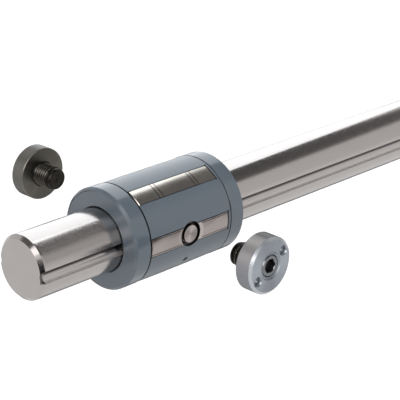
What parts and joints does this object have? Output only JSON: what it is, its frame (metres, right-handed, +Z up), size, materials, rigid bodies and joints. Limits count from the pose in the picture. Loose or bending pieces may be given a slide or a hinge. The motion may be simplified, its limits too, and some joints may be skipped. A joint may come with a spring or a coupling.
{
  "type": "torque-resistant linear bushing",
  "caption": "Closed ball bushing on a grooved round shaft, with crowned load plates, torque plates with seats and round screw-in torque drivers beside it.",
  "frame": {"origin": "centre of the shaft's front end face", "axes": "+X along the shaft towards its rear end, -Y towards the front torque plate and its driver, +Z up"},
  "size_m": [0.3, 0.1344, 0.04],
  "materials": {
    "shaft_steel": "ground and polished, hardened steel",
    "slate_plastic": "matt slate-grey moulded plastic",
    "retainer_plastic": "black moulded plastic",
    "seal_rubber": "black nitrile rubber",
    "plate_steel": "ground bearing steel",
    "ball_steel": "polished bearing steel",
    "bright_ring_steel": "satin turned steel",
    "dark_ring_steel": "dark burnished steel",
    "black_screw_steel": "black oxide on steel"
  },
  "bodies": {
    "shaft": {"guide_shaft": "shaft_steel"},
    "bushing": {"outer_sleeve": "slate_plastic", "front_end_ring": "slate_plastic", "rear_end_ring": "slate_plastic", "ball_retainer": "retainer_plastic", "front_wiper_seal": "seal_rubber", "rear_wiper_seal": "seal_rubber", "torque_plate_front": "plate_steel", "load_plate_upper_front": "plate_steel", "load_plate_upper_rear": "plate_steel", "torque_plate_rear": "plate_steel", "load_plate_lower_rear": "plate_steel", "load_plate_lower_front": "plate_steel", "balls_torque_front": "ball_steel", "balls_upper_front": "ball_steel", "balls_upper_rear": "ball_steel", "balls_torque_rear": "ball_steel", "balls_lower_rear": "ball_steel", "balls_lower_front": "ball_steel"},
    "front_driver": {"front_driver_ring": "bright_ring_steel"},
    "front_screw": {"front_set_screw": "black_screw_steel"},
    "rear_driver": {"rear_driver_ring": "dark_ring_steel"},
    "rear_screw": {"rear_set_screw": "black_screw_steel"}
  },
  "joints": [
    {"name": "bushing_slide", "type": "slide", "parent": "shaft", "child": "bushing", "axis": [1, 0, 0], "range_m": [-0.018, 0.174]},
    {"name": "front_driver_slide", "type": "slide", "parent": "bushing", "child": "front_driver", "axis": [0, 1, 0], "range_m": [0, 0.0241]},
    {"name": "front_screw_turn", "type": "hinge", "parent": "front_driver", "child": "front_screw", "pos_m": [0.0665, -0.0566, 0], "axis": [0, 1, 0], "range_deg": [-720, 720]},
    {"name": "rear_driver_slide", "type": "slide", "parent": "bushing", "child": "rear_driver", "axis": [0, -1, 0], "range_m": [0, 0.0381]},
    {"name": "rear_screw_turn", "type": "hinge", "parent": "rear_driver", "child": "rear_screw", "pos_m": [0.0665, 0.0706, 0], "axis": [0, -1, 0], "range_deg": [-720, 720]}
  ]
}
